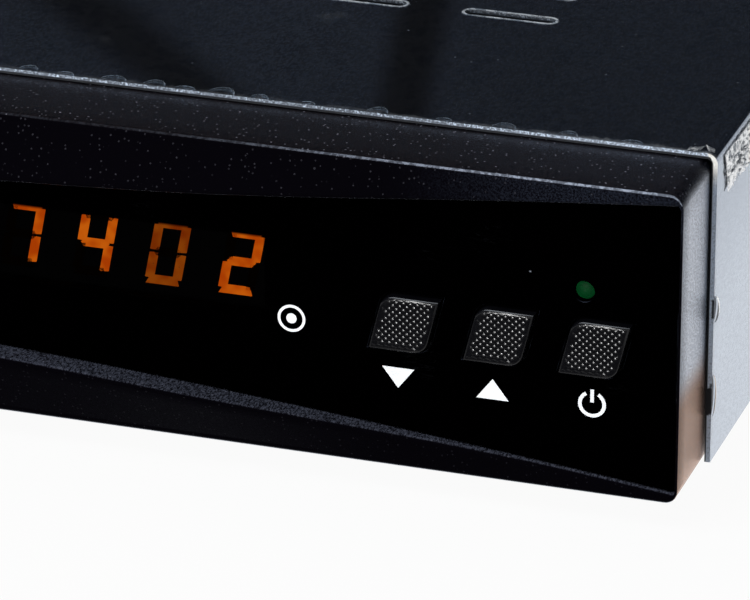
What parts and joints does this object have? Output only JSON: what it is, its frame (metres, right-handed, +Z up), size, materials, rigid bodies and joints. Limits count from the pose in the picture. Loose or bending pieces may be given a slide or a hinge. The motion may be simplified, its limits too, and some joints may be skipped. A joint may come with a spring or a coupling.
{
  "type": "satellite television receiver",
  "caption": "Set-top satellite receiver: steel case with vents, bulging plastic front with digital display, status lamp and push buttons, rear sockets and rocker switch.",
  "frame": {"origin": "on the ground under the middle of the whole receiver's box", "axes": "+X to the right seen from the front, +Y to the rear, +Z up; the front faces -Y"},
  "size_m": [0.2642, 0.2003, 0.0504],
  "materials": {
    "cover_paint": "glossy black paint",
    "clear_film": "clear protective film",
    "bezel_plastic": "fine-grained black plastic",
    "window_plastic": "polished black",
    "tray_steel": "zinc-plated steel",
    "black_plastic": "moulded black plastic",
    "display_light": "lit orange segments",
    "lamp_green": "dark green lens",
    "button_plastic": "knurled black plastic",
    "board_green": "green solder mask",
    "board_tan": "paper board",
    "chip_black": "moulded package",
    "fin_aluminium": "plain aluminium",
    "sleeve_blue": "shrink sleeve",
    "tinplate": "tinned sheet",
    "nickel": "nickel plate",
    "zinc_screw": "zinc plate",
    "black_screw": "blackened steel",
    "brass_post": "plain brass",
    "white_plastic": "natural nylon",
    "orange_plastic": "moulded orange",
    "red_plastic": "moulded red",
    "yellow_plastic": "moulded yellow",
    "ferrite": "ferrite",
    "winding_tape": "yellow tape",
    "copper_wire": "enamelled wire",
    "fuse_glass": "glass tube",
    "ribbon_grey": "grey ribbon",
    "wire_red": "insulated wire",
    "foot_rubber": "moulded rubber"
  },
  "bodies": {
    "case": {"chassis_tray": "tray_steel", "top_cover": "cover_paint", "protective_film": "clear_film", "front_bezel": "bezel_plastic", "front_window": "window_plastic", "display_module": "black_plastic", "display_segments": "display_light", "status_lamp": "lamp_green", "remote_receiver": "black_plastic", "front_board": "board_tan", "tact_switches": "tinplate", "main_board": "board_green", "processor": "chip_black", "memory_chips": "chip_black", "heat_sink": "fin_aluminium", "board_capacitors": "sleeve_blue", "tuner_can": "tinplate", "aerial_connectors": "nickel", "aerial_insulators": "white_plastic", "aerial_nuts": "nickel", "hdmi_socket": "tinplate", "usb_socket": "tinplate", "socket_tongues": "black_plastic", "digital_audio_jack": "orange_plastic", "right_audio_jack": "red_plastic", "left_audio_jack": "white_plastic", "video_jack": "yellow_plastic", "jack_shells": "nickel", "power_board": "board_tan", "insulating_sheet": "white_plastic", "mains_inlet": "black_plastic", "mains_pins": "nickel", "rocker_housing": "black_plastic", "transformer_core": "ferrite", "transformer_winding": "winding_tape", "bulk_capacitor": "sleeve_blue", "output_capacitors": "sleeve_blue", "line_capacitor": "yellow_plastic", "line_choke": "copper_wire", "mains_fuse": "fuse_glass", "fuse_clips": "nickel", "switch_heat_sink": "fin_aluminium", "ribbon_cable": "ribbon_grey", "power_harness": "wire_red", "cable_plugs": "white_plastic", "board_standoffs": "brass_post", "board_screws": "zinc_screw", "front_board_screws": "zinc_screw", "bezel_screws": "zinc_screw", "cover_screws": "black_screw", "feet": "foot_rubber"},
    "channel_down_key": {"channel_down_button": "button_plastic", "channel_down_plunger": "black_plastic"},
    "channel_up_key": {"channel_up_button": "button_plastic", "channel_up_plunger": "black_plastic"},
    "power_key": {"power_button": "button_plastic", "power_plunger": "black_plastic"},
    "rocker": {"rocker": "black_plastic"}
  },
  "joints": [
    {"name": "channel_down_press", "type": "slide", "parent": "case", "child": "channel_down_key", "axis": [0, 1, 0], "range_m": [0, 0.0004], "stiffness_N_per_m": 600},
    {"name": "channel_up_press", "type": "slide", "parent": "case", "child": "channel_up_key", "axis": [0, 1, 0], "range_m": [0, 0.0004], "stiffness_N_per_m": 600},
    {"name": "power_press", "type": "slide", "parent": "case", "child": "power_key", "axis": [0, 1, 0], "range_m": [0, 0.0004], "stiffness_N_per_m": 600},
    {"name": "rocker_tilt", "type": "hinge", "parent": "case", "child": "rocker", "pos_m": [-0.10542, 0.08715, 0.0275], "axis": [1, 0, 0], "range_deg": [-14, 0]}
  ]
}
